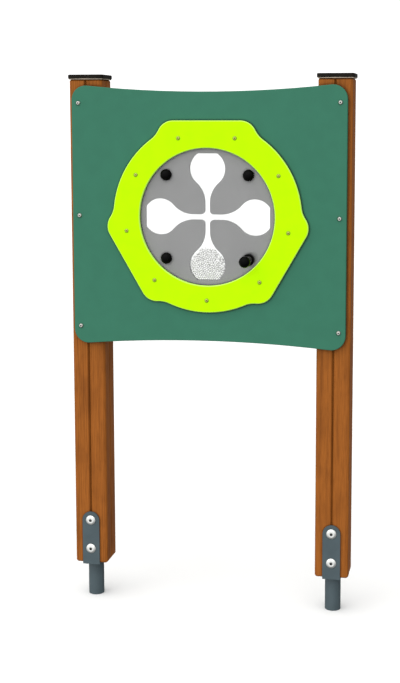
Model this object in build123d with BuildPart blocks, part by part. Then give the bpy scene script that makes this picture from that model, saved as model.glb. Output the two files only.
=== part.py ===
"""Playground play panel: two timber posts on steel ground tubes carry a green panel, and a clear-fronted
bead wheel turns in the panel's round hole between two bright rings.

X runs across the panel, +Y runs from the front to the back and +Z is up.
The origin lies midway between the two ground tubes, level with their lower ends.
"""

from build123d import *
from math import asin, cos, radians, sin, sqrt, tan
import os

# ================================================================ driving dimensions, millimetres
# timber posts
post_section = 95.0
post_length = 1399.5
post_corner_radius = 8.0
post_end_chamfer = 4.0
groove_width = 9.0

# caps and gaskets on the posts
cap_overhang = 4.0
cap_thickness = 11.0
cap_corner_radius = 10.0
cap_edge_radius = 2.5
gasket_thickness = 2.5
gasket_inset = 0.5
cap_screw_radius = 2.5
cap_screw_head_radius = 5.0
cap_screw_length = 50.0

# steel feet
tube_diameter = 45.0
tube_wall = 3.2
tube_reach = 103.5
tube_end_chamfer = 1.0
shoe_width = 50.0
shoe_thickness = 4.0
foot_bolt_radius = 6.0
foot_bolt_height = 43.0
foot_bolt_spacing = 85.0
foot_bolt_head_radius = 14.0
foot_bolt_head_height = 4.5
foot_bolt_socket = 8.0
foot_washer_radius = 12.0
foot_washer_thickness = 2.5
foot_nut_flats = 18.0
foot_nut_height = 16.5

# green panel
panel_height = 735.5
panel_thickness = 19.0
panel_below_post_top = 13.0
panel_side_reach = 35.25
panel_corner_radius = 40.0
panel_edge_radius = 2.0
panel_top_dip = 22.3
panel_bottom_rise = 19.8
panel_screw_radius = 3.5
panel_screw_head_radius = 6.2
panel_screw_head_height = 4.0
panel_screw_length = 75.0
panel_screw_offset = 16.0
panel_screw_inset = 53.0
panel_screw_socket = 4.0

# bright rings in front of and behind the panel
window_radius = 191.0
ring_width = 75.0
ring_thickness = 10.0
ring_to_post = 38.25
ring_edge_chamfer = 2.2
ear_count = 3
ear_half_angle = 24.6
ear_side_angle = 28.0
ear_corner_radius = 46.0
ear_root_radius = 68.0
ear_rise = 0.3
ring_bolt_count = 9
ring_bolt_inset = 41.1
ring_bolt_radius = 3.0
ring_bolt_head_radius = 5.4
ring_bolt_head_height = 3.0
ring_bolt_socket = 3.0
ring_nut_flats = 10.0
ring_nut_height = 9.0

# wheel
wheel_capture = 14.0
pane_thickness = 3.0
lobe_count = 4
lobe_radius = 50.5
lobe_flat_inset = 15.0
lobe_flat_depth = 42.0
lobe_flat_corner_radius = 6.0
channel_width = 15.0
neck_radius = 74.0
crossing_radius = 11.0
bead_heap_height = 97.0
bead_heap_radius = 58.0

# bolts that clamp the wheel, and their covers
clamp_inset = 26.3
clamp_bolt_radius = 4.0
clamp_head_flats = 13.0
clamp_head_height = 5.0
clamp_nut_flats = 13.0
clamp_nut_height = 6.5
clamp_thread_end = 1.5
cover_radius = 15.7
cover_height = 14.0
cover_wall = 2.6
cover_rim = 3.0
cover_base_thickness = 2.0

# ball handles
cup_radius = 16.5
cup_height = 6.0
cup_bore_radius = 11.0
cup_edge_radius = 2.0
handle_washer_thickness = 3.0
stud_body_radius = 6.0
spindle_radius = 4.5
ball_radius = 16.0
ball_reach = 62.0
ball_neck_radius = 8.0
ball_neck_length = 4.0
grip_screw_radius = 2.5
grip_screw_head_radius = 6.5
grip_screw_head_height = 3.0
grip_screw_length = 16.0
grip_screw_socket = 3.0
grip_seat_height = 3.0
grip_plug_gap = 0.5

# shapes of the domed nuts, as shares of a nut's own height or width, and how far a bolt's tip goes in
bolt_tip_share = 0.68
cap_nut_bore_share = 0.72
cap_nut_hexagon_share = 0.5
cap_nut_dome_share = 0.46

# shapes of the round bolt heads, as shares of a head's own height or radius
head_rim_share = 0.3
head_crown_share = 0.6
head_arc_share = 1.2
head_socket_share = 0.8

# clearances
bolt_clearance = 0.5
thread_clearance = 0.05
wheel_rim_clearance = 1.2
ring_to_wheel_gap = 0.5
bead_clearance = 0.4
cover_clearance = 0.1
cup_clearance = 0.2
running_clearance = 0.05
grip_end_play = 0.3

# ================================================================ places worked out from them
half_post = post_section / 2
post_bottom = tube_reach + shoe_thickness
post_top = post_bottom + post_length
cap_top = post_top + gasket_thickness + cap_thickness
cap_width = post_section + 2 * cap_overhang

ring_outer_radius = window_radius + ring_width
half_spacing = ring_outer_radius + ring_to_post + half_post
post_spacing = 2 * half_spacing
panel_width = post_spacing + 2 * panel_side_reach
panel_top = post_top - panel_below_post_top
panel_bottom = panel_top - panel_height
wheel_height = (panel_top + panel_bottom) / 2
screw_levels = [panel_bottom + panel_screw_inset, wheel_height, panel_top - panel_screw_inset]
foot_bolt_levels = [post_bottom + foot_bolt_height, post_bottom + foot_bolt_height + foot_bolt_spacing]

panel_back = -half_post
panel_front = panel_back - panel_thickness
ring_front = panel_front - ring_thickness
ring_back = panel_back + ring_thickness
wheel_front = panel_front + ring_to_wheel_gap
wheel_back = panel_back - ring_to_wheel_gap
core_thickness = panel_thickness - 2 * ring_to_wheel_gap - 2 * pane_thickness
stack_thickness = core_thickness + 2 * pane_thickness

wheel_radius = window_radius + wheel_capture
panel_hole_radius = wheel_radius + wheel_rim_clearance
ring_bolt_circle = window_radius + ring_bolt_inset
clamp_circle = window_radius - clamp_inset
lobe_flat_distance = window_radius - lobe_flat_inset
lobe_centre = lobe_flat_distance - lobe_flat_depth
bead_heap_centre = lobe_flat_distance - bead_heap_height + bead_heap_radius
cover_bore_radius = cover_radius - cover_wall
cover_base_radius = cover_bore_radius - cover_clearance
handle_washer_radius = cup_bore_radius - cup_clearance

sides = {"left": -1, "right": 1}
corner_signs = {
    "top_left": (-1, 1),
    "top_right": (1, 1),
    "bottom_left": (-1, -1),
    "bottom_right": (1, -1),
}
front_handle_corner = "bottom_right"
rear_handle_corner = "top_left"
plain_bolt_corners = ["top_right", "bottom_left"]


# ================================================================ helpers
def save(piece, name):
    """Label one finished sub-part and write its file."""
    piece.part.label = name
    export_step(piece.part, f"parts/{name}.step")


def seat(x, y, z, front=True):
    """A plane on a face that looks to the front or to the back, with its normal pointing out of the face."""
    outward = (0, -1, 0) if front else (0, 1, 0)
    return Plane(origin=(x, y, z), x_dir=(1, 0, 0), z_dir=outward)


def corner_seat(corner, front, height=0.0):
    """A seat at one clamp bolt, on the wheel's front or back face or so far off it."""
    along = clamp_circle / sqrt(2)
    sign_x, sign_z = corner_signs[corner]
    level = wheel_front - height if front else wheel_back + height
    return seat(sign_x * along, level, wheel_height + sign_z * along, front)


def ring_seats(level, front):
    """Seats for the ring bolts, evenly spread round the wheel, one of them straight below it."""
    step = 360 / ring_bolt_count
    angles = [radians(270 + step * number) for number in range(ring_bolt_count)]
    places = [(ring_bolt_circle * cos(a), wheel_height + ring_bolt_circle * sin(a)) for a in angles]
    return [seat(x, level, z, front) for x, z in places]


def save_copies(piece, name, seats):
    """Put one copy of a piece on each seat and write them as one node."""
    with BuildPart() as group:
        with Locations(*seats):
            add(piece.part)
    save(group, name)


def dome_middle(radius, low, high):
    """The middle point of a shallow dome's arc, from its rim at this radius up to its top."""
    rise = high - low
    sphere = (radius**2 + rise**2) / (2 * rise)
    half_angle = asin(radius / sphere) / 2
    return (sphere * sin(half_angle), high - sphere + sphere * cos(half_angle))


def make_button_bolts(name, seats, radius, length, head_radius, head_height, socket):
    """Round-headed bolts or screws with a hexagon socket, one on each seat."""
    rim = head_rim_share * head_height
    crown = head_crown_share * head_radius
    arc = head_arc_share * head_radius
    with BuildPart() as bolt:
        with BuildSketch(Plane.XZ):
            with BuildLine():
                Polyline((0, head_height), (0, -length), (radius, -length), (radius, 0), (head_radius, 0))
                Line((head_radius, 0), (head_radius, rim))
                RadiusArc((head_radius, rim), (crown, head_height), -arc)
                Line((crown, head_height), (0, head_height))
            make_face()
        revolve(axis=Axis.Z)
        with BuildSketch(Plane.XY.offset(head_height)):
            RegularPolygon(socket / 2, 6, major_radius=False)
        extrude(amount=-head_socket_share * head_height, mode=Mode.SUBTRACT)
    save_copies(bolt, name, seats)


def make_cap_nuts(name, seats, radius, flats, height):
    """Domed hexagon nuts with a blind bore, one on each seat."""
    hexagon_height = cap_nut_hexagon_share * height
    dome_radius = cap_nut_dome_share * flats
    with BuildPart() as nut:
        with BuildSketch():
            RegularPolygon(flats / 2, 6, major_radius=False)
        extrude(amount=hexagon_height)
        with BuildSketch(Plane.XZ):
            with BuildLine():
                Polyline((0, height), (0, hexagon_height), (dome_radius, hexagon_height))
                ThreePointArc(
                    (dome_radius, hexagon_height),
                    dome_middle(dome_radius, hexagon_height, height),
                    (0, height),
                )
            make_face()
        revolve(axis=Axis.Z)
        with BuildSketch():
            Circle(radius + thread_clearance)
        extrude(amount=cap_nut_bore_share * height, mode=Mode.SUBTRACT)
    save_copies(nut, name, seats)


def make_washers(name, seats, outer_radius, bore_radius, thickness):
    """Flat round washers, one on each seat."""
    with BuildPart() as washer:
        with BuildSketch():
            Circle(outer_radius)
            Circle(bore_radius, mode=Mode.SUBTRACT)
        extrude(amount=thickness)
    save_copies(washer, name, seats)


# ================================================================ posts, gaskets and caps
def make_post(side):
    """A square post with round corners, a groove down each face and its bolt and screw holes."""
    centre_x = sides[side] * half_spacing
    screw_x = centre_x + sides[side] * panel_screw_offset
    groove_side = groove_width / sqrt(2)
    screw_depth = panel_screw_length - panel_thickness + bolt_clearance
    with BuildPart() as post:
        with BuildSketch(Plane.XY.offset(post_bottom)):
            with Locations((centre_x, 0)):
                Rectangle(post_section, post_section)
            fillet(vertices(), post_corner_radius)
        extrude(amount=post_length)
        chamfer(faces().filter_by(Axis.Z).edges(), post_end_chamfer)
        with BuildSketch(Plane.XY.offset(post_bottom)):
            with Locations((centre_x, 0)):
                with PolarLocations(half_post, 4):
                    Rectangle(groove_side, groove_side, rotation=45)
        extrude(amount=post_length, mode=Mode.SUBTRACT)
        with BuildSketch(Plane.XZ):
            with Locations(*[(centre_x, level) for level in foot_bolt_levels]):
                Circle(foot_bolt_radius + bolt_clearance)
        extrude(amount=post_section, both=True, mode=Mode.SUBTRACT)
        with BuildSketch(Plane.XZ.offset(half_post)):
            with Locations(*[(screw_x, level) for level in screw_levels]):
                Circle(panel_screw_radius + thread_clearance)
        extrude(amount=-screw_depth, mode=Mode.SUBTRACT)
        with BuildSketch(Plane.XY.offset(post_top)):
            with Locations((centre_x, 0)):
                Circle(cap_screw_radius + thread_clearance)
        extrude(amount=-cap_screw_length, mode=Mode.SUBTRACT)
    save(post, f"{side}_post")


def make_gasket(side):
    """A thin foam gasket, nearly as wide as the cap, that seals the post's end grain under it."""
    centre_x = sides[side] * half_spacing
    gasket_width = cap_width - 2 * gasket_inset
    with BuildPart() as gasket:
        with BuildSketch(Plane.XY.offset(post_top)):
            with Locations((centre_x, 0)):
                Rectangle(gasket_width, gasket_width)
            fillet(vertices(), cap_corner_radius - gasket_inset)
            with Locations((centre_x, 0)):
                Circle(cap_screw_radius + bolt_clearance, mode=Mode.SUBTRACT)
        extrude(amount=gasket_thickness)
    save(gasket, f"{side}_cap_gasket")


def make_cap(side):
    """A flat moulded cap with round edges and a countersunk hole in its middle."""
    centre_x = sides[side] * half_spacing
    with BuildPart() as cap:
        with BuildSketch(Plane.XY.offset(post_top + gasket_thickness)):
            with Locations((centre_x, 0)):
                Rectangle(cap_width, cap_width)
            fillet(vertices(), cap_corner_radius)
        extrude(amount=cap_thickness)
        fillet(faces().sort_by(Axis.Z)[-1].edges(), cap_edge_radius)
        with Locations((centre_x, 0, cap_top)):
            CounterSinkHole(
                cap_screw_radius + bolt_clearance,
                cap_screw_head_radius + 2 * bolt_clearance,
                counter_sink_angle=90,
            )
    save(cap, f"{side}_post_cap")


def make_cap_screws():
    """Two countersunk wood screws, one down through each cap."""
    head_top = cap_top - bolt_clearance
    head_bottom = head_top - (cap_screw_head_radius - cap_screw_radius)
    tip = cap_top - cap_screw_length
    with BuildPart() as screws:
        for direction in sides.values():
            centre_x = direction * half_spacing
            with BuildSketch(Plane.XZ):
                with BuildLine():
                    Polyline(
                        (centre_x, head_top),
                        (centre_x + cap_screw_head_radius, head_top),
                        (centre_x + cap_screw_radius, head_bottom),
                        (centre_x + cap_screw_radius, tip + 2 * cap_screw_radius),
                        (centre_x, tip),
                        close=True,
                    )
                make_face()
            revolve(axis=Axis((centre_x, 0, 0), (0, 0, 1)))
    save(screws, "post_cap_screws")


# ================================================================ feet
def make_shoe(side):
    """A flat bar bent into a U under the post's end: a base with a round-topped plate front and back."""
    centre_x = sides[side] * half_spacing
    top_bolt = foot_bolt_levels[-1]
    outer_depth = post_section + 2 * shoe_thickness
    with BuildPart() as shoe:
        with BuildSketch(Plane.XY.offset(tube_reach)):
            with Locations((centre_x, 0)):
                Rectangle(shoe_width, outer_depth)
        extrude(amount=shoe_thickness)
        for face in (seat(0, -half_post, 0, True), seat(0, half_post, 0, False)):
            with BuildSketch(face):
                upward = face.y_dir.Z
                with Locations((centre_x, upward * (tube_reach + top_bolt) / 2)):
                    Rectangle(shoe_width, top_bolt - tube_reach)
                with Locations((centre_x, upward * top_bolt)):
                    Circle(shoe_width / 2)
                with Locations(*[(centre_x, upward * level) for level in foot_bolt_levels]):
                    Circle(foot_bolt_radius + bolt_clearance, mode=Mode.SUBTRACT)
            extrude(amount=shoe_thickness)
    save(shoe, f"{side}_foot_shoe")


def make_tube(side):
    """A round tube, welded under the shoe, that goes into the ground."""
    centre_x = sides[side] * half_spacing
    with BuildPart() as tube:
        with BuildSketch():
            with Locations((centre_x, 0)):
                Circle(tube_diameter / 2)
                Circle(tube_diameter / 2 - tube_wall, mode=Mode.SUBTRACT)
        extrude(amount=tube_reach)
        chamfer(faces().sort_by(Axis.Z)[0].edges(), tube_end_chamfer)
    save(tube, f"{side}_ground_tube")


def make_foot_fasteners(side):
    """Two through bolts in each foot, with washers and domed nuts at the back."""
    centre_x = sides[side] * half_spacing
    outside = half_post + shoe_thickness
    nut_level = outside + foot_washer_thickness
    front_seats = [seat(centre_x, -outside, level, True) for level in foot_bolt_levels]
    washer_seats = [seat(centre_x, outside, level, False) for level in foot_bolt_levels]
    nut_seats = [seat(centre_x, nut_level, level, False) for level in foot_bolt_levels]
    make_button_bolts(
        f"{side}_foot_bolts",
        front_seats,
        foot_bolt_radius,
        outside + nut_level + bolt_tip_share * foot_nut_height,
        foot_bolt_head_radius,
        foot_bolt_head_height,
        foot_bolt_socket,
    )
    make_washers(
        f"{side}_foot_washers",
        washer_seats,
        foot_washer_radius,
        foot_bolt_radius + bolt_clearance,
        foot_washer_thickness,
    )
    make_cap_nuts(f"{side}_foot_nuts", nut_seats, foot_bolt_radius, foot_nut_flats, foot_nut_height)


# ================================================================ panel
def make_panel():
    """The green panel: hollow-curved top and bottom edges, round corners and the wheel's round hole."""
    half_width = panel_width / 2
    with BuildPart() as panel:
        with BuildSketch(Plane.XZ.offset(-panel_back)):
            with BuildLine():
                ThreePointArc(
                    (-half_width, panel_top), (0, panel_top - panel_top_dip), (half_width, panel_top)
                )
                Line((half_width, panel_top), (half_width, panel_bottom))
                ThreePointArc(
                    (half_width, panel_bottom),
                    (0, panel_bottom + panel_bottom_rise),
                    (-half_width, panel_bottom),
                )
                Line((-half_width, panel_bottom), (-half_width, panel_top))
            make_face()
            fillet(vertices(), panel_corner_radius)
        extrude(amount=panel_thickness)
        fillet(faces().filter_by(Axis.Y).edges(), panel_edge_radius)
        with BuildSketch(Plane.XZ.offset(-panel_back)):
            with Locations((0, wheel_height)):
                Circle(panel_hole_radius)
                with PolarLocations(ring_bolt_circle, ring_bolt_count, start_angle=270):
                    Circle(ring_bolt_radius + bolt_clearance)
            for direction in sides.values():
                screw_x = direction * (half_spacing + panel_screw_offset)
                with Locations(*[(screw_x, level) for level in screw_levels]):
                    Circle(panel_screw_radius + bolt_clearance)
        extrude(amount=panel_thickness, mode=Mode.SUBTRACT)
    save(panel, "main_panel")


def make_panel_screws():
    """Six round-headed screws that hold the panel to the posts."""
    places = [(direction * (half_spacing + panel_screw_offset), level)
              for direction in sides.values() for level in screw_levels]
    make_button_bolts(
        "panel_screws",
        [seat(x, panel_front, z, True) for x, z in places],
        panel_screw_radius,
        panel_screw_length,
        panel_screw_head_radius,
        panel_screw_head_height,
        panel_screw_socket,
    )


# ================================================================ rings
def make_ring(name, inner_level, outer_level):
    """A flat ring with three ears, each a straight edge between round corners that run into the circle."""
    front = outer_level < inner_level
    face = seat(0, inner_level, wheel_height, front)
    first_ear = 90 if front else -90
    first_bolt = 270 if front else 90
    edge_distance = ring_outer_radius + ear_rise
    ear_half_width = edge_distance * tan(radians(ear_half_angle))
    corner_distance = edge_distance / cos(radians(ear_half_angle))
    corner_test = (edge_distance + corner_distance) / 2
    side_run = ring_width * tan(radians(ear_side_angle))
    with BuildPart() as ring:
        with BuildSketch(face):
            Circle(ring_outer_radius)
            with PolarLocations(0, ear_count, start_angle=first_ear):
                Polygon(
                    (edge_distance, -ear_half_width),
                    (edge_distance, ear_half_width),
                    (edge_distance - ring_width, ear_half_width + side_run),
                    (edge_distance - ring_width, -ear_half_width - side_run),
                    align=None,
                )
            corners = vertices().filter_by(lambda v: v.center().length > corner_test)
            fillet(corners, ear_corner_radius)
            roots = vertices().filter_by(lambda v: v.center().length < ring_outer_radius + ear_rise / 2)
            fillet(roots, ear_root_radius)
            Circle(window_radius, mode=Mode.SUBTRACT)
        extrude(amount=ring_thickness)
        outer_face = faces().sort_by(Axis.Y)[0 if front else -1]
        chamfer(outer_face.edges(), ring_edge_chamfer)
        with BuildSketch(face):
            with PolarLocations(ring_bolt_circle, ring_bolt_count, start_angle=first_bolt):
                Circle(ring_bolt_radius + bolt_clearance)
        extrude(amount=ring_thickness, mode=Mode.SUBTRACT)
    save(ring, name)


def make_ring_fasteners():
    """Nine through bolts that clamp both rings to the panel, with domed nuts at the back."""
    grip = ring_back - ring_front
    make_button_bolts(
        "ring_bolts",
        ring_seats(ring_front, True),
        ring_bolt_radius,
        grip + bolt_tip_share * ring_nut_height,
        ring_bolt_head_radius,
        ring_bolt_head_height,
        ring_bolt_socket,
    )
    make_cap_nuts(
        "ring_nuts", ring_seats(ring_back, False), ring_bolt_radius, ring_nut_flats, ring_nut_height
    )


# ================================================================ wheel
def lobe_outline():
    """One lobe along local X: a narrow channel that opens through hollow necks into a flat-ended bulb."""
    with BuildSketch() as lobe:
        with Locations((lobe_centre / 2, 0)):
            Rectangle(lobe_centre, channel_width)
        with Locations((lobe_centre, 0)):
            Circle(lobe_radius)
        necks = vertices().filter_by(lambda v: channel_width < v.X < lobe_centre)
        fillet(necks, neck_radius)
        with Locations((lobe_flat_distance + lobe_radius / 2, 0)):
            Rectangle(lobe_radius, 2 * lobe_radius, mode=Mode.SUBTRACT)
        flat_corners = vertices().filter_by(lambda v: v.X > lobe_flat_distance - lobe_flat_corner_radius / 2)
        fillet(flat_corners, lobe_flat_corner_radius)
    return lobe.sketch


def make_wheel_core(lobe):
    """The grey core: a round plate with the lobes cut through it, joined by a crossing at its middle."""
    with BuildPart() as core:
        with BuildSketch(seat(0, wheel_back - pane_thickness, wheel_height)):
            Circle(wheel_radius)
        extrude(amount=core_thickness)
        with BuildSketch(seat(0, wheel_back - pane_thickness, wheel_height)):
            with PolarLocations(0, lobe_count):
                add(lobe)
            crossing = vertices().filter_by(lambda v: v.center().length < channel_width)
            fillet(crossing, crossing_radius)
            with PolarLocations(clamp_circle, lobe_count, start_angle=45):
                Circle(clamp_bolt_radius + bolt_clearance)
        extrude(amount=core_thickness, mode=Mode.SUBTRACT)
    save(core, "wheel_core")


def make_pane(name, back_level):
    """A clear round pane that closes one face of the core."""
    with BuildPart() as pane:
        with BuildSketch(seat(0, back_level, wheel_height)):
            Circle(wheel_radius)
            with PolarLocations(clamp_circle, lobe_count, start_angle=45):
                Circle(clamp_bolt_radius + bolt_clearance, mode=Mode.SUBTRACT)
        extrude(amount=pane_thickness)
    save(pane, name)


def make_bead_charge(lobe):
    """The loose beads as one solid: they fill the lowest lobe up to a gently domed heap."""
    with BuildPart() as beads:
        with BuildSketch(seat(0, wheel_back - pane_thickness - bead_clearance, wheel_height)):
            with PolarLocations(0, 1, start_angle=270):
                add(lobe)
            offset(amount=-bead_clearance)
            with Locations((0, -bead_heap_centre)):
                Circle(bead_heap_radius, mode=Mode.INTERSECT)
        extrude(amount=core_thickness - 2 * bead_clearance)
    save(beads, "bead_charge")


def make_hex_bolts(name, seats, radius, length, flats, head_height):
    """Hexagon-headed bolts, one on each seat."""
    with BuildPart() as bolt:
        with BuildSketch():
            RegularPolygon(flats / 2, 6, major_radius=False)
        extrude(amount=head_height)
        with BuildSketch():
            Circle(radius)
        extrude(amount=-length)
    save_copies(bolt, name, seats)


def make_hex_nuts(name, seats, radius, flats, height):
    """Plain hexagon nuts, one on each seat."""
    with BuildPart() as nut:
        with BuildSketch():
            RegularPolygon(flats / 2, 6, major_radius=False)
            Circle(radius + thread_clearance, mode=Mode.SUBTRACT)
        extrude(amount=height)
    save_copies(nut, name, seats)


def make_cover(name, face):
    """A hollow domed cover that snaps over a base washer and hides a bolt head or nut."""
    inner_top = cover_height - cover_wall
    with BuildPart() as cover:
        with BuildSketch(Plane.XZ):
            with BuildLine():
                Line((cover_bore_radius, 0), (cover_radius, 0))
                Line((cover_radius, 0), (cover_radius, cover_rim))
                ThreePointArc(
                    (cover_radius, cover_rim),
                    dome_middle(cover_radius, cover_rim, cover_height),
                    (0, cover_height),
                )
                Line((0, cover_height), (0, inner_top))
                ThreePointArc(
                    (0, inner_top),
                    dome_middle(cover_bore_radius, cover_rim, inner_top),
                    (cover_bore_radius, cover_rim),
                )
                Line((cover_bore_radius, cover_rim), (cover_bore_radius, 0))
            make_face()
        revolve(axis=Axis.Z)
    save_copies(cover, name, [face])


def make_clamps():
    """The wheel's clamp bolts, their base washers and nuts, and a domed cover over each end."""
    covered_front = [corner for corner in corner_signs if corner != front_handle_corner]
    covered_back = [corner for corner in corner_signs if corner != rear_handle_corner]
    stack = stack_thickness + 2 * cover_base_thickness
    for corner in covered_front:
        make_cover(f"front_cover_{corner}", corner_seat(corner, True))
    for corner in covered_back:
        make_cover(f"rear_cover_{corner}", corner_seat(corner, False))
    base_seats = [corner_seat(corner, True) for corner in covered_front]
    base_seats += [corner_seat(corner, False) for corner in covered_back]
    make_washers(
        "cover_base_washers",
        base_seats,
        cover_base_radius,
        clamp_bolt_radius + bolt_clearance,
        cover_base_thickness,
    )
    make_hex_bolts(
        "clamp_bolts",
        [corner_seat(corner, True, cover_base_thickness) for corner in plain_bolt_corners],
        clamp_bolt_radius,
        stack + clamp_nut_height + clamp_thread_end,
        clamp_head_flats,
        clamp_head_height,
    )
    nut_seats = [corner_seat(corner, False, cover_base_thickness) for corner in covered_back]
    nut_seats.append(corner_seat(rear_handle_corner, True, cover_base_thickness))
    make_hex_nuts("clamp_nuts", nut_seats, clamp_bolt_radius, clamp_nut_flats, clamp_nut_height)


# ================================================================ handles
def make_handle(end, face):
    """A ball grip that turns freely on a stud, which also clamps the wheel in place of a bolt."""
    neck_bottom = ball_reach - ball_radius - ball_neck_length
    body_top = neck_bottom - grip_end_play
    grip_seat = ball_reach + grip_seat_height
    spindle_top = grip_seat + grip_end_play
    stud_tip = stack_thickness + cover_base_thickness + clamp_nut_height + clamp_thread_end
    screw_bore = grip_screw_radius + thread_clearance
    screw_bore_end = spindle_top - grip_screw_length - bolt_clearance
    counterbore_radius = grip_screw_head_radius + bolt_clearance
    plug_radius = counterbore_radius - thread_clearance
    plug_bottom = spindle_top + grip_screw_head_height + grip_plug_gap
    ball_bore = spindle_radius + running_clearance
    neck_meets_ball = ball_reach - sqrt(ball_radius**2 - ball_neck_radius**2)
    ball_opening = ball_reach + sqrt(ball_radius**2 - counterbore_radius**2)

    with BuildPart() as cup:
        with BuildSketch():
            Circle(cup_radius)
            Circle(cup_bore_radius, mode=Mode.SUBTRACT)
        extrude(amount=cup_height)
        rims = faces().sort_by(Axis.Z)[-1].edges().sort_by(SortBy.LENGTH)
        fillet(rims[-1], cup_edge_radius)
    save_copies(cup, f"{end}_handle_cup", [face])

    make_washers(
        f"{end}_handle_washer",
        [face],
        handle_washer_radius,
        clamp_bolt_radius + bolt_clearance,
        handle_washer_thickness,
    )

    with BuildPart() as stud:
        with BuildSketch(Plane.XZ):
            with BuildLine():
                Polyline(
                    (0, -stud_tip),
                    (clamp_bolt_radius, -stud_tip),
                    (clamp_bolt_radius, handle_washer_thickness),
                    (stud_body_radius, handle_washer_thickness),
                    (stud_body_radius, body_top),
                    (spindle_radius, body_top),
                    (spindle_radius, spindle_top),
                    (screw_bore, spindle_top),
                    (screw_bore, screw_bore_end),
                    (0, screw_bore_end),
                    close=True,
                )
            make_face()
        revolve(axis=Axis.Z)
    save_copies(stud, f"{end}_handle_stud", [face])

    with BuildPart() as ball:
        with BuildSketch(Plane.XZ):
            with BuildLine():
                Polyline(
                    (counterbore_radius, ball_opening),
                    (counterbore_radius, grip_seat),
                    (ball_bore, grip_seat),
                    (ball_bore, neck_bottom),
                    (ball_neck_radius, neck_bottom),
                    (ball_neck_radius, neck_meets_ball),
                )
                ThreePointArc(
                    (ball_neck_radius, neck_meets_ball),
                    (ball_radius, ball_reach),
                    (counterbore_radius, ball_opening),
                )
            make_face()
        revolve(axis=Axis.Z)
    save_copies(ball, f"{end}_ball_grip", [face])

    make_button_bolts(
        f"{end}_grip_screw",
        [face.offset(spindle_top)],
        grip_screw_radius,
        grip_screw_length,
        grip_screw_head_radius,
        grip_screw_head_height,
        grip_screw_socket,
    )

    plug_edge = ball_reach + sqrt(ball_radius**2 - plug_radius**2)
    with BuildPart() as plug:
        with BuildSketch(Plane.XZ):
            with BuildLine():
                Polyline((0, ball_reach + ball_radius), (0, plug_bottom), (plug_radius, plug_bottom))
                Line((plug_radius, plug_bottom), (plug_radius, plug_edge))
                RadiusArc((plug_radius, plug_edge), (0, ball_reach + ball_radius), -ball_radius)
            make_face()
        revolve(axis=Axis.Z)
    save_copies(plug, f"{end}_grip_plug", [face])


# ================================================================ build every piece
os.makedirs("parts", exist_ok=True)
for each_side in sides:
    make_post(each_side)
    make_gasket(each_side)
    make_cap(each_side)
    make_shoe(each_side)
    make_tube(each_side)
    make_foot_fasteners(each_side)
make_cap_screws()
make_panel()
make_panel_screws()
make_ring("front_ring", panel_front, ring_front)
make_ring("rear_ring", panel_back, ring_back)
make_ring_fasteners()
one_lobe = lobe_outline()
make_wheel_core(one_lobe)
make_pane("front_pane", wheel_front + pane_thickness)
make_pane("rear_pane", wheel_back)
make_bead_charge(one_lobe)
make_clamps()
make_handle("front", corner_seat(front_handle_corner, True))
make_handle("rear", corner_seat(rear_handle_corner, False))
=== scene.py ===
"""Looks for a playground play panel with a bead wheel.

Two stained timber posts on painted steel feet carry a green sheet panel. A grey wheel with four
clear-fronted lobes turns between two bright rings, and loose white beads run from lobe to lobe.
Lengths are in metres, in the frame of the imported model: +Z is up and the panel's front faces -Y.
"""

import math

import bpy
import numpy as np
from bpy.props import FloatProperty, FloatVectorProperty, IntProperty, PointerProperty
from mathutils import Euler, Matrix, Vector


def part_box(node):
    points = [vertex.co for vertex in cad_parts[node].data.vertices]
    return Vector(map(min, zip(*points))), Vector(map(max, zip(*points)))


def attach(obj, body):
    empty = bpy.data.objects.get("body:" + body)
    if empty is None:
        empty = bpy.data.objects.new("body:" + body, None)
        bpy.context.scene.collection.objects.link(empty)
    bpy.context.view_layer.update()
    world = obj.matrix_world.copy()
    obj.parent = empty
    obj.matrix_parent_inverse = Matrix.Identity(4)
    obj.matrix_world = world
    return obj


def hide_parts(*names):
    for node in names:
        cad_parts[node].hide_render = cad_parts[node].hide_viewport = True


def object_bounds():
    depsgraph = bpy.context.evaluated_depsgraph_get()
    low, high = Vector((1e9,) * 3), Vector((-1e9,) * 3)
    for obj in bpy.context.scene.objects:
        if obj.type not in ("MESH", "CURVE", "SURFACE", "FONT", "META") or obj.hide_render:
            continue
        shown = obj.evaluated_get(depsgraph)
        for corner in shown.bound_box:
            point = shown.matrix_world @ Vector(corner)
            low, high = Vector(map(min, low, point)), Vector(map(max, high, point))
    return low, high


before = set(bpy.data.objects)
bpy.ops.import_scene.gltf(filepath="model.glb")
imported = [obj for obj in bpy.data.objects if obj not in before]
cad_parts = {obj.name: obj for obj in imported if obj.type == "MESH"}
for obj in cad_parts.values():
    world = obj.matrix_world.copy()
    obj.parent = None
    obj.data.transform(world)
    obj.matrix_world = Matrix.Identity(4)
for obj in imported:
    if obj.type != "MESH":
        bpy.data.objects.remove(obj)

bl_info = {
    "name": "Bead Wheel Play Panel",
    "version": (1, 0, 0),
    "blender": (4, 5, 0),
    "location": "3D View > Sidebar > Play Panel",
    "description": "Finishes, loose beads, welds, foam gaskets and a studio for a bead wheel panel",
    "category": "Object",
}

MM = 0.001
CAD_BOX = [list(corner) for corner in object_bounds()]
SIDES = ("left", "right")
FLOOR_REACH = 60.0
# where each post's pith lies, across and along from the post's middle, outside the sawn timber
PITH_PLACES = {"left": (-0.11, 0.09), "right": (0.16, -0.12)}
BEAD_SEGMENTS, BEAD_RINGS = 8, 5
# the wave texture's rings repeat every 0.314 of its own unit
WAVE_PERIOD = 0.314


# ---------------------------------------------------------------- colours and node helpers
def linear(code):
    """An sRGB hex colour as linear red, green and blue."""
    channels = [int(code[place : place + 2], 16) / 255 for place in (1, 3, 5)]
    return tuple(c / 12.92 if c <= 0.04045 else ((c + 0.055) / 1.055) ** 2.4 for c in channels)


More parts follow.
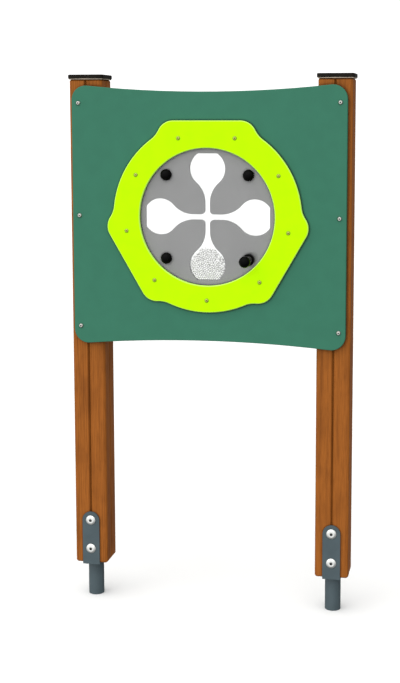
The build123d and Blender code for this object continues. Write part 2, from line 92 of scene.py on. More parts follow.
def colour_property(name, description, code):
    """A colour that a user can change, with its default given as an sRGB hex code."""
    return FloatVectorProperty(
        name=name,
        description=description,
        subtype="COLOR",
        size=3,
        min=0,
        max=1,
        default=linear(code),
    )


def length_property(name, description, millimetres):
    """A length that a user can change, with its default given in millimetres."""
    return FloatProperty(
        name=name,
        description=description,
        default=millimetres * MM,
        min=0,
        precision=5,
        subtype="DISTANCE",
        unit="LENGTH",
    )


def share_property(name, description, value):
    """A number from 0 to 1 that a user can change."""
    return FloatProperty(
        name=name, description=description, default=value, min=0, max=1, subtype="FACTOR"
    )


def opaque(colour, factor=1.0):
    """A colour, lighter or darker by a factor, with a solid alpha."""
    return (*[min(1.0, channel * factor) for channel in colour], 1.0)


def node(tree, kind, sockets=None, **settings):
    """Add a node with its settings; each input is given a value or linked to another node's output."""
    made = tree.nodes.new(kind)
    for name, value in settings.items():
        setattr(made, name, value)
    for key, value in (sockets or {}).items():
        if isinstance(value, bpy.types.NodeSocket):
            tree.links.new(value, made.inputs[key])
        else:
            made.inputs[key].default_value = value
    return made


def start_finish(name, **shader_sockets):
    """A new material with one Principled shader, its node tree and the shader."""
    finish = bpy.data.materials.new(name)
    finish.use_nodes = True
    tree = finish.node_tree
    tree.nodes.clear()
    output = tree.nodes.new("ShaderNodeOutputMaterial")
    shader = node(tree, "ShaderNodeBsdfPrincipled")
    for key, value in shader_sockets.items():
        shader.inputs[key.replace("_", " ")].default_value = value
    tree.links.new(shader.outputs[0], output.inputs["Surface"])
    return finish, tree, shader


def grain(tree, sizes, detail=2.0, roughness=0.5, offset=(0.0, 0.0, 0.0)):
    """Noise on the object's own coordinates, with cells of the given size in metres along x, y and z."""
    place = node(tree, "ShaderNodeTexCoord")
    steps = [1 / size for size in sizes]
    fitted = node(tree, "ShaderNodeMapping", {0: place.outputs["Object"], 1: offset, 3: steps})
    cloud = node(
        tree,
        "ShaderNodeTexNoise",
        {"Vector": fitted.outputs[0], "Scale": 1.0, "Detail": detail, "Roughness": roughness},
    )
    return cloud.outputs["Fac"]


def facing(tree, axis):
    """How squarely the surface faces one axis, from 0 edge on to 1 face on."""
    place = node(tree, "ShaderNodeTexCoord")
    parts = node(tree, "ShaderNodeSeparateXYZ", {0: place.outputs["Normal"]})
    return node(tree, "ShaderNodeMath", {0: parts.outputs[axis]}, operation="ABSOLUTE").outputs[0]


def laid_over(tree, under, over, pattern, low, high, most=1.0):
    """A colour laid over another as a pattern goes from low to high, at most by the given share."""
    share = node(
        tree,
        "ShaderNodeMapRange",
        {0: pattern, 1: low, 2: high, 4: most},
        interpolation_type="SMOOTHSTEP",
    )
    both = node(tree, "ShaderNodeMix", {0: share.outputs[0], 6: under, 7: over}, data_type="RGBA")
    return both.outputs[2]


def painted_corner_shade(tree, unshaded, shade_colour, reach, start, full, most=1.0):
    """Painted shade laid over a colour where something stands within reach, as in a socket or a corner:
    the colour darkens as ambient occlusion finds the surface closed in.
    """
    open_air = node(tree, "ShaderNodeAmbientOcclusion", {"Distance": reach}, samples=8)
    return laid_over(tree, unshaded, shade_colour, open_air.outputs["AO"], start, full, most)


def surface(tree, shader, colour, pattern, smooth, rough, height, depth):
    """Give the shader a colour, a roughness that follows a pattern and a relief of a depth in metres."""
    gloss = node(tree, "ShaderNodeMapRange", {0: pattern, 1: 0.25, 2: 0.75, 3: smooth, 4: rough})
    bump = node(tree, "ShaderNodeBump", {"Height": height, "Distance": depth})
    tree.links.new(colour, shader.inputs["Base Color"])
    tree.links.new(gloss.outputs[0], shader.inputs["Roughness"])
    tree.links.new(bump.outputs[0], shader.inputs["Normal"])


# ---------------------------------------------------------------- what a user can change
class TimberLook(bpy.types.PropertyGroup):
    stain: colour_property("Stain", "Colour of the stained earlywood", "#9A5A22")
    dark_stain: colour_property("Dark stain", "Colour of the latewood and the deep stain", "#5E3110")
    ring_spacing: length_property("Ring spacing", "Distance from one growth ring to the next", 3.4)
    fibre_length: length_property("Fibre length", "How long one streak of grain runs", 110.0)
    # how far the painted shade spreads from the posts' groove and corners
    corner_shade_reach: length_property("Painted shade reach", "How far painted shade spreads from an inside corner", 12.0)


class SheetLook(bpy.types.PropertyGroup):
    panel_green: colour_property("Panel", "Colour of the panel's sheet", "#35705A")
    ring_lime: colour_property("Rings", "Colour of the bright rings", "#BAF600")
    core_grey: colour_property("Wheel core", "Colour of the wheel's core", "#848484")
    # the rings' edges are paler partly from the routed cut's own dull tone and partly from a painted
    # highlight along the chamfers
    cut_paleness_and_highlight: share_property("Cut edge paleness and highlight", "How much paler the rings' routed edges are, with a painted highlight", 0.18)
    # how far the painted shade spreads from the sheets' inside corners
    corner_shade_reach: length_property("Painted shade reach", "How far painted shade spreads from an inside corner", 9.0)
    peel_size: length_property("Peel size", "Size of the pressed sheet's fine dimples", 1.6)


class WheelLook(bpy.types.PropertyGroup):
    bead_diameter: length_property("Bead diameter", "Diameter of one loose bead", 6.0)
    bead_colour: colour_property("Beads", "Colour of the loose beads", "#E8E8E6")
    bulb_depth: length_property("Bulb depth", "From the middle of the lobe's bulb to its flat end", 42.0)
    neck_radius: length_property("Neck radius", "Radius of the hollow neck above the bulb", 74.0)
    channel_width: length_property("Channel width", "Width of the channel that leads to a lobe", 15.0)
    heap_radius: length_property("Heap radius", "Radius of the heap's domed top", 58.0)
    bead_fill: share_property("Bead fill", "How closely the beads are packed, layer by layer", 0.81)
    settling_steps: IntProperty(
        name="Settling steps", description="How long the loose beads are shaken down", default=260, min=10
    )
    pane_tint: colour_property("Pane tint", "Colour of the clear panes", "#FCFDFD")


class TrimLook(bpy.types.PropertyGroup):
    nylon_black: colour_property("Nylon", "Colour of the moulded covers", "#060606")
    cap_black: colour_property("Caps", "Colour of the moulded post caps", "#1B1814")
    grip_black: colour_property("Grip", "Colour of the polished ball grips", "#050505")
    foam_grey: colour_property("Foam", "Colour of the gaskets under the caps", "#B5A897")
    foam_bulge: length_property("Foam bulge", "How far the squeezed foam stands out", 0.7)
    foam_corner: length_property("Foam corner", "Corner radius of the foam gaskets", 9.5)
    foam_hole: length_property("Foam hole", "Radius of the screw hole in the foam", 3.0)


class SteelLook(bpy.types.PropertyGroup):
    foot_paint: colour_property("Foot paint", "Colour of the powder coat on the feet", "#48555A")
    zinc: colour_property("Zinc", "Colour of the plated fasteners", "#E2E4E1")
    # tinted towards lime: partly the passivated plating's own yellow, partly a painted reflection of the
    # lime rings
    yellow_zinc: colour_property("Yellow zinc and lime reflection", "Colour of the yellow passivated fasteners", "#B2BC5E")
    stainless: colour_property("Stainless", "Colour of the stainless pieces", "#C4C4BE")
    weld_leg: length_property("Weld leg", "Size of the weld between tube and shoe", 2.4)
    weld_pitch: length_property("Weld pitch", "Distance from one weld ripple to the next", 2.2)
    # how deep the painted shade reaches into sockets and corners
    corner_shade_reach: length_property("Painted shade reach", "How deep a socket or corner holds painted shade", 9.0)


class StageLook(bpy.types.PropertyGroup):
    lens: FloatProperty(name="Lens", description="Focal length in millimetres", default=67.94, min=10)
    shift: FloatVectorProperty(
        name="Shift", description="Shift of the camera's frame", size=2, default=(-0.052, -0.1027)
    )
    stand: FloatVectorProperty(
        name="Camera place",
        description="Where the camera stands",
        subtype="TRANSLATION",
        size=3,
        default=(0.7281, -3.5594, 1.3966),
    )
    turn: FloatProperty(
        name="Turn",
        description="How far the camera turns to the left",
        default=math.radians(10.51),
        subtype="ANGLE",
    )
    tilt: FloatProperty(
        name="Tilt",
        description="How far the camera looks down",
        default=math.radians(6.74),
        subtype="ANGLE",
    )
    backdrop: FloatProperty(
        name="Backdrop", description="Brightness of the plain backdrop", default=1.25, min=0
    )
    shade: FloatProperty(
        name="Shaded side",
        description="Brightness of the soft surround where it is darkest",
        default=0.25,
        min=0,
    )
    glow: FloatProperty(
        name="Bright side",
        description="Brightness of the soft surround where it is brightest",
        default=1.5,
        min=0,
    )
    key: FloatProperty(
        name="Key light", description="Brightness of the wide key light", default=0.22, min=0
    )
    key_width: FloatProperty(
        name="Key width",
        description="How wide the key light looks",
        default=math.radians(70),
        subtype="ANGLE",
    )
    light_from: FloatVectorProperty(
        name="Light from",
        description="Direction of the brightest part of the surround",
        subtype="XYZ",
        size=3,
        default=(-0.31, -0.62, 0.72),
    )
    floor_colour: colour_property("Floor", "Colour of the matt floor", "#F6F6F5")


LOOKS = {
    "panel_timber": TimberLook,
    "panel_sheet": SheetLook,
    "panel_wheel": WheelLook,
    "panel_trim": TrimLook,
    "panel_steel": SteelLook,
    "panel_stage": StageLook,
}


# ---------------------------------------------------------------- finishes
def stained_pine(name, look, pith, seed):
    """Planed laminated pine under a brown glaze: fine upright streaks, dark patches and a low sheen."""
    finish, tree, shader = start_finish(name, IOR=1.5, Specular_IOR_Level=0.08)
    place = node(tree, "ShaderNodeTexCoord")
    from_pith = node(
        tree,
        "ShaderNodeMapping",
        {0: place.outputs["Object"], 1: (-pith[0], -pith[1], seed), 3: (1, 1, 0.12)},
    )
    rings = node(
        tree,
        "ShaderNodeTexWave",
        {
            "Vector": from_pith.outputs[0],
            "Scale": WAVE_PERIOD / look.ring_spacing,
            "Distortion": 9.0,
            "Detail": 3.0,
            "Detail Scale": 0.35,
            "Detail Roughness": 0.6,
        },
        wave_type="RINGS",
        rings_direction="Z",
        wave_profile="SAW",
    )
    # single fibres are too fine to show, so they are drawn 1.3 mm wide
    fibre = grain(tree, (1.3 * MM, 1.3 * MM, look.fibre_length / 3), 4.0, 0.65, (seed, 0, 0))
    # the glaze lies in streaks 7 mm wide and in patches 55 mm wide
    streaks = grain(tree, (7 * MM, 7 * MM, 3 * look.fibre_length), 3.0, 0.6, (0, seed, 0))
    patches = grain(tree, (55 * MM, 55 * MM, 110 * MM), 3.0, 0.55, (0, 0, seed))
    stain, dark = opaque(look.stain), opaque(look.dark_stain)
    wood = laid_over(tree, stain, dark, rings.outputs["Fac"], 0.35, 1.0, 0.35)
    wood = laid_over(tree, wood, opaque(look.stain, 1.35), fibre, 0.55, 0.25, 0.5)
    wood = laid_over(tree, wood, dark, fibre, 0.5, 0.8, 0.6)
    wood = laid_over(tree, wood, dark, streaks, 0.45, 0.75, 0.5)
    wood = laid_over(tree, wood, dark, patches, 0.45, 0.75, 0.35)
    wood = laid_over(tree, wood, dark, facing(tree, "Z"), 0.8, 1.0, 0.6)
    # painted shade: the wood darkens towards a deep brown in the groove, beside the panel's edges and in
    # other corners that ambient occlusion finds
    wood = painted_corner_shade(tree, wood, opaque(look.dark_stain, 0.25), look.corner_shade_reach, 0.95, 0.5, 0.55)
    surface(tree, shader, wood, fibre, 0.42, 0.58, fibre, 0.12 * MM)
    return finish


def pressed_sheet(name, colour, look, gloss, paleness):
    """High-density polyethylene sheet: a waxy, finely dimpled face, paler routed edges that are partly
    the cut's own dull tone and partly a painted highlight, and painted shade in the corners.
    """
    finish, tree, shader = start_finish(name, IOR=1.54, Specular_IOR_Level=gloss)
    pale = [channel + (1 - channel) * paleness for channel in colour]
    # the pressed face clouds a little over 38 mm
    mottle = grain(tree, (38 * MM, 38 * MM, 38 * MM), 3.0)
    dimples = grain(tree, (look.peel_size, look.peel_size, look.peel_size), 1.0)
    sheet = laid_over(tree, opaque(colour, 0.98), opaque(colour, 1.03), mottle, 0.3, 0.7)
    # paler where the surface turns edge-on: partly the routed cut's own dull tone, partly a painted
    # highlight along the chamfers
    sheet = laid_over(tree, sheet, opaque(pale), facing(tree, "Y"), 0.97, 0.55)
    # painted shade: the sheet darkens towards a fifth of its colour where ambient occlusion finds a
    # corner, round the rings and at the wheel's rim
    sheet = painted_corner_shade(tree, sheet, opaque(colour, 0.2), look.corner_shade_reach, 0.95, 0.55, 0.85)
    surface(tree, shader, sheet, dimples, 0.46, 0.56, dimples, 0.03 * MM)
    return finish


def clear_polycarbonate(name, look):
    """Extruded clear polycarbonate: sharp reflections, hardly any tint and a trace of rubbed haze."""
    finish, tree, shader = start_finish(
        name, IOR=1.585, Transmission_Weight=1.0, Base_Color=opaque(look.pane_tint)
    )
    # hands rub haze into patches 60 mm wide
    haze = grain(tree, (60 * MM, 60 * MM, 60 * MM), 2.0)
    rubbed = node(tree, "ShaderNodeMapRange", {0: haze, 1: 0.3, 2: 0.7, 3: 0.0, 4: 0.03})
    tree.links.new(rubbed.outputs[0], shader.inputs["Roughness"])
    return finish


def moulded_beads(name, look):
    """Moulded polypropylene beads: opaque white with a soft sheen and small differences in tone."""
    finish, tree, shader = start_finish(
        name,
        IOR=1.49,
        Specular_IOR_Level=0.3,
        Subsurface_Weight=0.4,
        Subsurface_Radius=(1, 1, 1),
        Subsurface_Scale=look.bead_diameter / 2,
    )
    # the tone changes from one bead to the next
    tone = grain(tree, (7 * MM, 7 * MM, 7 * MM), 1.0)
    dull, bright = opaque(look.bead_colour, 0.9), opaque(look.bead_colour, 1.08)
    beads = laid_over(tree, dull, bright, tone, 0.35, 0.65)
    surface(tree, shader, beads, tone, 0.35, 0.5, tone, 0.02 * MM)
    return finish


def moulded_nylon(name, colour, smooth, rough, depth):
    """Injection-moulded black polyamide: a fine sparked surface with a dull, slightly uneven shine."""
    finish, tree, shader = start_finish(name, IOR=1.53, Specular_IOR_Level=0.04)
    # the spark texture is too fine to show, so it is drawn 0.9 mm wide
    spark = grain(tree, (0.9 * MM, 0.9 * MM, 0.9 * MM), 3.0, 0.6)
    # handling polishes patches 14 mm wide
    wear = grain(tree, (14 * MM, 14 * MM, 14 * MM), 2.0)
    black = laid_over(tree, opaque(colour, 0.9), opaque(colour, 1.3), wear, 0.35, 0.7)
    surface(tree, shader, black, wear, smooth, rough, spark, depth)
    return finish


def closed_cell_foam(name, look):
    """Cut closed-cell polyethylene foam: matt grey with small open bubbles on its edge and painted shade
    in their hollows.
    """
    finish, tree, shader = start_finish(name, IOR=1.45, Specular_IOR_Level=0.1)
    place = node(tree, "ShaderNodeTexCoord")
    # a bubble is 0.9 mm wide
    bubbles = node(
        tree, "ShaderNodeTexVoronoi", {"Vector": place.outputs["Object"], "Scale": 1 / (0.9 * MM)}
    )
    hollow = bubbles.outputs["Distance"]
    # painted shade: darker towards each bubble's middle, where its hollow lies
    foam = laid_over(tree, opaque(look.foam_grey, 0.8), opaque(look.foam_grey, 1.1), hollow, 0.1, 0.6)
    surface(tree, shader, foam, hollow, 0.85, 0.95, hollow, 0.15 * MM)
    return finish


def powder_coat(name, look):
    """Polyester powder coat on galvanised steel: an even blue-grey with a faint ripple and a sheen."""
    finish, tree, shader = start_finish(name, IOR=1.5, Specular_IOR_Level=0.2)
    # the coat flows into ripples 2.2 mm wide over clouds 45 mm wide
    ripple = grain(tree, (2.2 * MM, 2.2 * MM, 2.2 * MM), 2.0)
    cloud = grain(tree, (45 * MM, 45 * MM, 45 * MM), 2.0)
    thick, thin = opaque(look.foot_paint, 0.93), opaque(look.foot_paint, 1.07)
    paint = laid_over(tree, thick, thin, cloud, 0.3, 0.7)
    surface(tree, shader, paint, cloud, 0.4, 0.5, ripple, 0.03 * MM)
    return finish


def plated_steel(name, colour, smooth, rough, corner_shade_reach):
    """Machined steel, zinc plated or stainless: bright, slightly cloudy, with painted shade in the
    sockets.
    """
    finish, tree, shader = start_finish(name, Metallic=1.0)
    # the plating clouds over 3 mm
    cloud = grain(tree, (3 * MM, 3 * MM, 3 * MM), 3.0)
    # turning marks are too fine to show, so they are drawn 0.6 mm apart
    marks = grain(tree, (0.6 * MM, 0.6 * MM, 0.6 * MM), 2.0)
    metal = laid_over(tree, opaque(colour, 0.9), opaque(colour, 1.05), cloud, 0.3, 0.7)
    # painted shade: the metal darkens almost to black in sockets and corners that ambient occlusion finds
    # within reach
    metal = painted_corner_shade(tree, metal, opaque(colour, 0.06), corner_shade_reach, 0.85, 0.6)
    surface(tree, shader, metal, cloud, smooth, rough, marks, 0.01 * MM)
    return finish


def studio_floor(name, colour):
    """Matt painted board: plain, pale and free of gloss."""
    finish, tree, shader = start_finish(name, IOR=1.5, Specular_IOR_Level=0.0)
    # the roller left soft patches 0.4 m across
    cloud = grain(tree, (0.4, 0.4, 0.4), 2.0)
    board = laid_over(tree, opaque(colour, 0.985), opaque(colour), cloud, 0.3, 0.7)
    surface(tree, shader, board, cloud, 0.93, 0.97, cloud, 0.05 * MM)
    return finish


def dress(names, finish):
    """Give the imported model's nodes with these names one finish."""
    for name in names:
        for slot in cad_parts[name].material_slots:
            slot.material = finish


def nodes_named(*endings):
    """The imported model's nodes whose names end in one of these."""
    return [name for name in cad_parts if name.endswith(endings)]


# ---------------------------------------------------------------- shapes
def add_piece(name, points, faces, finish, smooth=True):
    """A mesh object with one finish from arrays of points and faces."""
    mesh = bpy.data.meshes.new(name)
    mesh.from_pydata(points.tolist(), [], faces.tolist())
    mesh.polygons.foreach_set("use_smooth", np.full(len(mesh.polygons), smooth))
    mesh.materials.append(finish)
    mesh.update()
    piece = bpy.data.objects.new(name, mesh)
    bpy.context.scene.collection.objects.link(piece)
    return piece


def ring_faces(around, across):
    """Quads of a grid that closes on itself both ways, numbered row by row."""
    row, column = np.meshgrid(np.arange(around), np.arange(across), indexing="ij")
    next_row, next_column = (row + 1) % around, (column + 1) % across
    corners = [
        row * across + column,
        next_row * across + column,
        next_row * across + next_column,
        row * across + next_column,
    ]
    return np.stack(corners, axis=-1).reshape(-1, 4)


def ball_points(segments, rings):
    """A unit ball as a pole, rings of equal latitude steps and a second pole, faced with triangles."""
    latitude = np.pi * np.arange(1, rings) / rings
    longitude = 2 * np.pi * np.arange(segments) / segments
    circle = np.stack([np.cos(longitude), np.sin(longitude), np.zeros(segments)], axis=-1)
    across, up = np.sin(latitude)[:, None, None], np.cos(latitude)[:, None, None]
    body = across * circle + up * np.array([0, 0, 1])
    points = np.concatenate([[[0, 0, 1]], body.reshape(-1, 3), [[0, 0, -1]]])
    here = np.arange(segments)
    after = (here + 1) % segments
    top = np.stack([np.zeros_like(here), 1 + here, 1 + after], axis=-1)
    last = len(points) - 1
    low = 1 + (rings - 2) * segments
    bottom = np.stack([np.full_like(here, last), low + after, low + here], axis=-1)
    bands = []
    for band in range(rings - 2):
        start = 1 + band * segments
        upper, lower = start + here, start + segments + here
        upper_next, lower_next = start + after, start + segments + after
        bands.append(np.stack([upper, lower, lower_next], axis=-1))
        bands.append(np.stack([upper, lower_next, upper_next], axis=-1))
    return points, np.concatenate([top, *bands, bottom])


def settled_beads(centre, size, look):
    """Centres of loose beads at rest in the lowest lobe.

    The lobe is a bulb, a circle with a flat end, that narrows between two neck circles, each tangent to
    the bulb and to the channel's side. Random points fill it up to the heap's domed top. In each step
    every overlapping pair moves apart by part of its overlap, all sink a little, and each is put back
    inside the bulb, between the necks, under the heap and between the panes.
    """
    candidates, push, sink = 6000, 0.35, 0.01
    low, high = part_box("bead_charge")
    bulb = (high.x - low.x) / 2 - size
    bulb_middle = low.z + look.bulb_depth
    neck = look.neck_radius + size
    neck_across = look.channel_width / 2 + look.neck_radius
    tangent = bulb + neck
    neck_middle = bulb_middle + np.sqrt(tangent**2 - neck_across**2)
    neck_start = bulb_middle + (neck_middle - bulb_middle) * bulb / tangent
    heap = look.heap_radius - size
    heap_middle = high.z - look.heap_radius
    floor, front, back = low.z + size, low.y + size, high.y - size

    def keep_inside(points):
        across, up = points[:, 0] - centre.x, points[:, 2]
        aside = np.where(across < 0, -neck_across, neck_across)
        above = up > neck_start
        for x, z, reach, outside in (
            (aside, neck_middle, neck, True),
            (0.0, bulb_middle, bulb, False),
            (0.0, heap_middle, heap, False),
        ):
            away = np.hypot(across - x, up - z)
            share = reach / np.maximum(away, 1e-9)
            if outside:
                share = np.where(above, np.maximum(share, 1.0), 1.0)
            else:
                share = np.where(above & (z == bulb_middle), 1.0, np.minimum(share, 1.0))
            across, up = x + (across - x) * share, z + (up - z) * share
        along = np.clip(points[:, 1], front, back)
        return np.stack([centre.x + across, along, np.maximum(up, floor)], axis=-1)

    rng = np.random.default_rng(7)
    places = rng.uniform((low.x, front, low.z), (high.x, back, high.z), (candidates, 3))
    inside = np.abs(keep_inside(places) - places).max(axis=1) < 1e-9
    area = (high.x - low.x) * (high.z - low.z) * inside.mean()
    layers = round((back - front) / (2 * size)) + 1
    count = int(look.bead_fill * layers * area / (np.pi * size**2))
    beads = places[inside][:count]
    for _ in range(look.settling_steps):
        apart = beads[:, None, :] - beads[None, :, :]
        distance = np.sqrt((apart**2).sum(-1)) + np.eye(count)
        overlap = np.clip(2 * size - distance, 0, None) * (1 - np.eye(count))
        beads = beads + push * (apart / distance[..., None] * overlap[..., None]).sum(1)
        beads[:, 2] -= sink * size
        beads = keep_inside(beads)
    return beads


def bead_mesh(centres, radius):
    """One low ball at each centre, each turned about X and Z by its own angle."""
    ball, faces = ball_points(BEAD_SEGMENTS, BEAD_RINGS)
    rng = np.random.default_rng(11)
    turn, roll = rng.uniform(0, 2 * np.pi, (2, len(centres)))
    zero, one = np.zeros_like(turn), np.ones_like(turn)
    about_z = np.array(
        [[np.cos(turn), -np.sin(turn), zero], [np.sin(turn), np.cos(turn), zero], [zero, zero, one]]
    ).transpose(2, 0, 1)
    about_x = np.array(
        [[one, zero, zero], [zero, np.cos(roll), -np.sin(roll)], [zero, np.sin(roll), np.cos(roll)]]
    ).transpose(2, 0, 1)
    turned = ball @ (about_z @ about_x).transpose(0, 2, 1)
    points = (centres[:, None, :] + radius * turned).reshape(-1, 3)
    steps = len(ball) * np.arange(len(centres))
    return points, (faces[None] + steps[:, None, None]).reshape(-1, 3)


def weld_mesh(centre, pipe_radius, level, leg, pitch):
    """A closed fillet weld round a pipe: a rounded triangle carried along a circle.

    The exposed side bows outwards from the pipe wall to the plate above. Each ripple swells the weld by
    the absolute sine of its place along the circle.
    """
    points_per_ripple, across = 6, 9
    bow_height, inside_wall, inside_plate = 0.22, -0.15, -0.08
    ripples = round(2 * np.pi * pipe_radius / pitch)
    around = ripples * points_per_ripple
    turn = 2 * np.pi * np.arange(around) / around
    swell = 0.9 + 0.1 * np.abs(np.sin(turn * ripples / 2))
    share = np.linspace(0, 1, across - 1)
    bow = bow_height * np.sin(np.pi * share)
    outwards = np.append(share + bow, inside_wall)
    downwards = np.append(1 - share + bow, inside_plate)
    radius = pipe_radius + leg * swell[:, None] * outwards[None, :]
    height = level - leg * swell[:, None] * downwards[None, :]
    points = np.stack(
        [
            centre.x + radius * np.cos(turn)[:, None],
            centre.y + radius * np.sin(turn)[:, None],
            height,
        ],
        axis=-1,
    )
    return points.reshape(-1, 3), ring_faces(around, across)


def gasket_mesh(low, high, corner, hole, bulge):
    """A square foam pad with a round hole: a flat band whose outer edge bulges by a half ellipse.

    The outline is a rounded square: a point on an inner square, drawn towards that square's corners, plus
    the corner radius in its own direction. The cross-section runs up the bulge from below, in over the
    top to the hole, down the hole and back underneath.
    """
    around, corner_draw = 96, 1.2
    middle = (low + high) / 2
    half = (high.x - low.x) / 2 - bulge
    turn = 2 * np.pi * (np.arange(around) + 0.5) / around
    direction = np.stack([np.cos(turn), np.sin(turn)], axis=-1)
    straight = half - corner
    reach = straight / np.abs(direction).max(axis=1)
    inner = np.clip(direction * reach[:, None] * corner_draw, -straight, straight)
    outline = inner + corner * direction
    side = np.array([-1, -0.8, -0.4, 0, 0.4, 0.8, 1])
    out = bulge * np.sqrt(1 - side**2)
    thickness = (high.z - low.z) / 2
    edge = outline[:, None, :] + out[None, :, None] * direction[:, None, :]
    edge_height = np.broadcast_to(middle.z + side * thickness, (around, len(side)))
    bore = np.repeat((hole * direction)[:, None, :], 2, axis=1)
    bore_height = np.broadcast_to(middle.z + np.array([1, -1]) * thickness, (around, 2))
    flat_points = np.concatenate([edge, bore], axis=1)
    heights = np.concatenate([edge_height, bore_height], axis=1)[..., None]
    points = np.concatenate([flat_points + [middle.x, middle.y], heights], axis=-1)
    return points.reshape(-1, 3), ring_faces(around, len(side) + 2)


# ---------------------------------------------------------------- operators
class FinishPosts(bpy.types.Operator):
    """Stain the two laminated timber posts"""

    bl_idname = "play_panel.finish_posts"
    bl_label = "Posts"

    def execute(self, context):
        look = context.scene.panel_timber
        for side, (across, along) in PITH_PLACES.items():
            low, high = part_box(f"{side}_post")
            middle = (low + high) / 2
            pith = (middle.x + across, middle.y + along)
            finish = stained_pine(f"stained_pine_{side}", look, pith, seed=3 * across)
            dress([f"{side}_post"], finish)
        return {"FINISHED"}


class FinishCaps(bpy.types.Operator):
    """Mould the post caps and lay a squeezed foam gasket under each"""

    bl_idname = "play_panel.finish_caps"
    bl_label = "Caps and gaskets"

    def execute(self, context):
        look = context.scene.panel_trim
        satin = {"smooth": 0.4, "rough": 0.5, "depth": 0.03 * MM}
        dress(nodes_named("_post_cap"), moulded_nylon("moulded_nylon_caps", look.cap_black, **satin))
        foam = closed_cell_foam("closed_cell_foam", look)
        for side in SIDES:
            node_name = f"{side}_cap_gasket"
            low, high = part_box(node_name)
            shape = (look.foam_corner, look.foam_hole, look.foam_bulge)
            points, faces = gasket_mesh(low, high, *shape)
            gasket = add_piece(f"{side}_foam_gasket", points, faces, foam)
            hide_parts(node_name)
            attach(gasket, "frame")
        return {"FINISHED"}


class FinishFeet(bpy.types.Operator):
    """Paint the steel feet and weld each tube to its shoe"""

    bl_idname = "play_panel.finish_feet"
    bl_label = "Feet"

    def execute(self, context):
        look = context.scene.panel_steel
        paint = powder_coat("powder_coat", look)
        dress(nodes_named("_foot_shoe", "_ground_tube"), paint)
        for side in SIDES:
            low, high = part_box(f"{side}_ground_tube")
            centre = (low + high) / 2
            radius = (high.x - low.x) / 2
            points, faces = weld_mesh(centre, radius, high.z, look.weld_leg, look.weld_pitch)
            weld = add_piece(f"{side}_tube_weld", points, faces, paint)
            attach(weld, "frame")
        return {"FINISHED"}


class FinishPanel(bpy.types.Operator):
    """Give the green panel its pressed sheet surface"""

    bl_idname = "play_panel.finish_panel"
    bl_label = "Panel"

    def execute(self, context):
        look = context.scene.panel_sheet
        green = pressed_sheet(
            "green_polyethylene_sheet", look.panel_green, look, gloss=0.12, paleness=0.0
        )
        dress(["main_panel"], green)
        return {"FINISHED"}


class FinishRings(bpy.types.Operator):
    """Give the bright rings their pressed sheet surface"""

    bl_idname = "play_panel.finish_rings"
    bl_label = "Rings"

    def execute(self, context):
        look = context.scene.panel_sheet
        lime = pressed_sheet(
            "lime_polyethylene_sheet", look.ring_lime, look, gloss=0.03, paleness=look.cut_paleness_and_highlight
        )
        dress(nodes_named("_ring"), lime)
        return {"FINISHED"}


class FinishWheel(bpy.types.Operator):
    """Finish the wheel's grey core and its two clear panes"""

    bl_idname = "play_panel.finish_wheel"
    bl_label = "Wheel"

    def execute(self, context):
        sheet = context.scene.panel_sheet
        grey = pressed_sheet(
            "grey_polyethylene_sheet", sheet.core_grey, sheet, gloss=0.15, paleness=0.0
        )
        dress(["wheel_core"], grey)
        panes = nodes_named("_pane")
        dress(panes, clear_polycarbonate("clear_polycarbonate", context.scene.panel_wheel))
        for name in panes:
            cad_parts[name].visible_shadow = False
            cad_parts[name].visible_diffuse = False
        return {"FINISHED"}


class PourBeads(bpy.types.Operator):
    """Fill the lowest lobe with loose white beads"""

    bl_idname = "play_panel.pour_beads"
    bl_label = "Beads"

    def execute(self, context):
        look = context.scene.panel_wheel
        radius = look.bead_diameter / 2
        low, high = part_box("wheel_core")
        centres = settled_beads((low + high) / 2, radius, look)
        points, faces = bead_mesh(centres, radius)
        beads = add_piece("loose_beads", points, faces, moulded_beads("moulded_beads", look))
        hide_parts("bead_charge")
        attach(beads, "wheel")
        return {"FINISHED"}


class FinishTrim(bpy.types.Operator):
    """Finish the bolt covers, the handle cups and the ball grips"""

    bl_idname = "play_panel.finish_trim"
    bl_label = "Covers and handles"

    def execute(self, context):
        look = context.scene.panel_trim
        covers = [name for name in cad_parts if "_cover_" in name]
        shiny = {"smooth": 0.16, "rough": 0.24, "depth": 0.015 * MM}
        nylon = moulded_nylon("moulded_nylon_covers", look.nylon_black, **shiny)
        dress(covers + nodes_named("_handle_cup", "cover_base_washers"), nylon)
        polished = {"smooth": 0.1, "rough": 0.16, "depth": 0.006 * MM}
        grip = moulded_nylon("polished_grip", look.grip_black, **polished)
        dress(nodes_named("_ball_grip", "_grip_plug"), grip)
        return {"FINISHED"}


class FinishFasteners(bpy.types.Operator):
    """Finish the zinc plated and the stainless fasteners"""

    bl_idname = "play_panel.finish_fasteners"
    bl_label = "Fasteners"

    def execute(self, context):
        look = context.scene.panel_steel
        # how far the painted shade reaches: deep for the sockets, shallow for the ring bolts
        deep, shallow = look.corner_shade_reach, look.corner_shade_reach / 3
        zinc = plated_steel("zinc_plated_steel", look.zinc, 0.3, 0.42, deep)
        # the ring bolts' tint is partly the plating's own yellow and partly a painted reflection of the
        # lime rings
        yellow_zinc = plated_steel("yellow_zinc_plated_steel_with_lime_reflection", look.yellow_zinc, 0.35, 0.5, shallow)
        stainless = plated_steel("stainless_steel", look.stainless, 0.22, 0.34, deep)
        dress(nodes_named("_foot_bolts", "_foot_nuts", "_foot_washers"), zinc)
        dress(["clamp_bolts", "clamp_nuts", "post_cap_screws"], zinc)
        dress(["ring_bolts", "ring_nuts"], yellow_zinc)
        dress(nodes_named("panel_screws", "_handle_stud", "_handle_washer", "_grip_screw"), stainless)
        return {"FINISHED"}


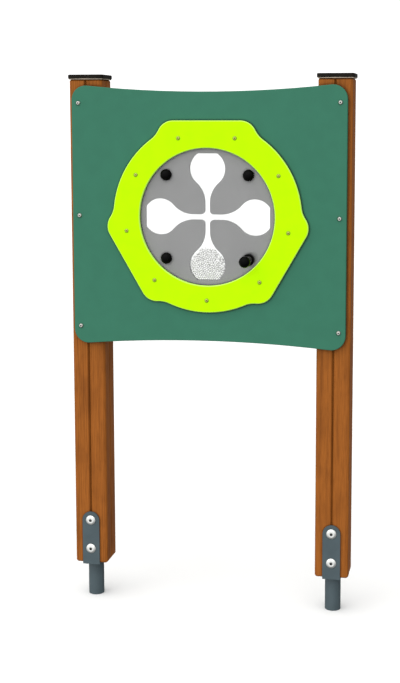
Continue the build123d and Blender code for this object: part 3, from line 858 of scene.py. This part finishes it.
class SetStage(bpy.types.Operator):
    """Lay the floor and set the camera and the soft studio light"""

    bl_idname = "play_panel.set_stage"
    bl_label = "Stage"

    def execute(self, context):
        scene = context.scene
        look = scene.panel_stage
        self.lay_floor(look)
        self.set_camera(scene, look)
        self.set_surround(scene, look)
        self.set_key_light(scene, look)
        scene.view_settings.view_transform = "Standard"
        return {"FINISHED"}

    def lay_floor(self, look):
        """A wide floor at the tubes' lower ends, which neither lights the object nor shows in it."""
        reach, level = FLOOR_REACH, CAD_BOX[0][2]
        outline = ((-1, -1), (1, -1), (1, 1), (-1, 1))
        corners = np.array([[x * reach, y * reach, level] for x, y in outline])
        board = studio_floor("matt_board", look.floor_colour)
        floor = add_piece("floor", corners, np.array([[0, 1, 2, 3]]), board)
        floor.visible_diffuse = False
        floor.visible_glossy = False

    def set_camera(self, scene, look):
        """A camera in front and to the right, which looks slightly down."""
        camera = bpy.data.cameras.new("camera")
        camera.lens = look.lens
        camera.shift_x, camera.shift_y = look.shift
        camera.clip_end = 2 * FLOOR_REACH
        holder = bpy.data.objects.new("camera", camera)
        holder.location = look.stand
        holder.rotation_euler = Euler((math.radians(90) - look.tilt, 0, look.turn))
        scene.collection.objects.link(holder)
        scene.camera = holder

    def set_surround(self, scene, look):
        """A backdrop that looks plain and lights the object softly from above and one side."""
        world = bpy.data.worlds.new("soft_surround")
        world.use_nodes = True
        tree = world.node_tree
        tree.nodes.clear()
        towards = Vector(look.light_from).normalized()
        way = node(tree, "ShaderNodeTexCoord")
        near = node(
            tree,
            "ShaderNodeVectorMath",
            {0: way.outputs["Generated"], 1: towards},
            operation="DOT_PRODUCT",
        )
        glow = node(
            tree,
            "ShaderNodeMapRange",
            {0: near.outputs["Value"], 1: -0.6, 2: 1.0, 3: look.shade, 4: look.glow},
            interpolation_type="SMOOTHSTEP",
        )
        path = node(tree, "ShaderNodeLightPath")
        seen = node(
            tree,
            "ShaderNodeMath",
            {0: path.outputs["Is Camera Ray"], 1: path.outputs["Is Transmission Ray"]},
            operation="MAXIMUM",
        )
        white = (1, 1, 1, 1)
        soft = node(tree, "ShaderNodeBackground", {0: white, 1: glow.outputs[0]})
        plain = node(tree, "ShaderNodeBackground", {0: white, 1: look.backdrop})
        both = node(
            tree,
            "ShaderNodeMixShader",
            {0: seen.outputs[0], 1: soft.outputs[0], 2: plain.outputs[0]},
        )
        node(tree, "ShaderNodeOutputWorld", {"Surface": both.outputs[0]})
        scene.world = world

    def set_key_light(self, scene, look):
        """A sun so wide that its shadows have no hard edge."""
        sun = bpy.data.lights.new("key_light", "SUN")
        sun.energy = look.key * math.pi
        sun.angle = look.key_width
        holder = bpy.data.objects.new("key_light", sun)
        holder.rotation_euler = Vector(look.light_from).to_track_quat("Z", "Y").to_euler()
        scene.collection.objects.link(holder)


OPERATORS = (
    SetStage,
    FinishPosts,
    FinishCaps,
    FinishFeet,
    FinishPanel,
    FinishRings,
    FinishWheel,
    PourBeads,
    FinishTrim,
    FinishFasteners,
)


class PlayPanelSidebar(bpy.types.Panel):
    """The sizes and colours, and a button for each group of pieces"""

    bl_idname = "VIEW3D_PT_play_panel"
    bl_label = "Play Panel"
    bl_space_type = "VIEW_3D"
    bl_region_type = "UI"
    bl_category = "Play Panel"

    def draw(self, context):
        for attribute, group in LOOKS.items():
            box = self.layout.box()
            for name in group.__annotations__:
                box.prop(getattr(context.scene, attribute), name)
        for operator in OPERATORS:
            self.layout.operator(operator.bl_idname)


CLASSES = (*LOOKS.values(), *OPERATORS, PlayPanelSidebar)


def register():
    for each in CLASSES:
        bpy.utils.register_class(each)
    for attribute, group in LOOKS.items():
        setattr(bpy.types.Scene, attribute, PointerProperty(type=group))


def unregister():
    for attribute in LOOKS:
        delattr(bpy.types.Scene, attribute)
    for each in reversed(CLASSES):
        bpy.utils.unregister_class(each)


def main():
    register()
    for operator in OPERATORS:
        family, name = operator.bl_idname.split(".")
        getattr(getattr(bpy.ops, family), name)()


if __name__ == "__main__":
    main()
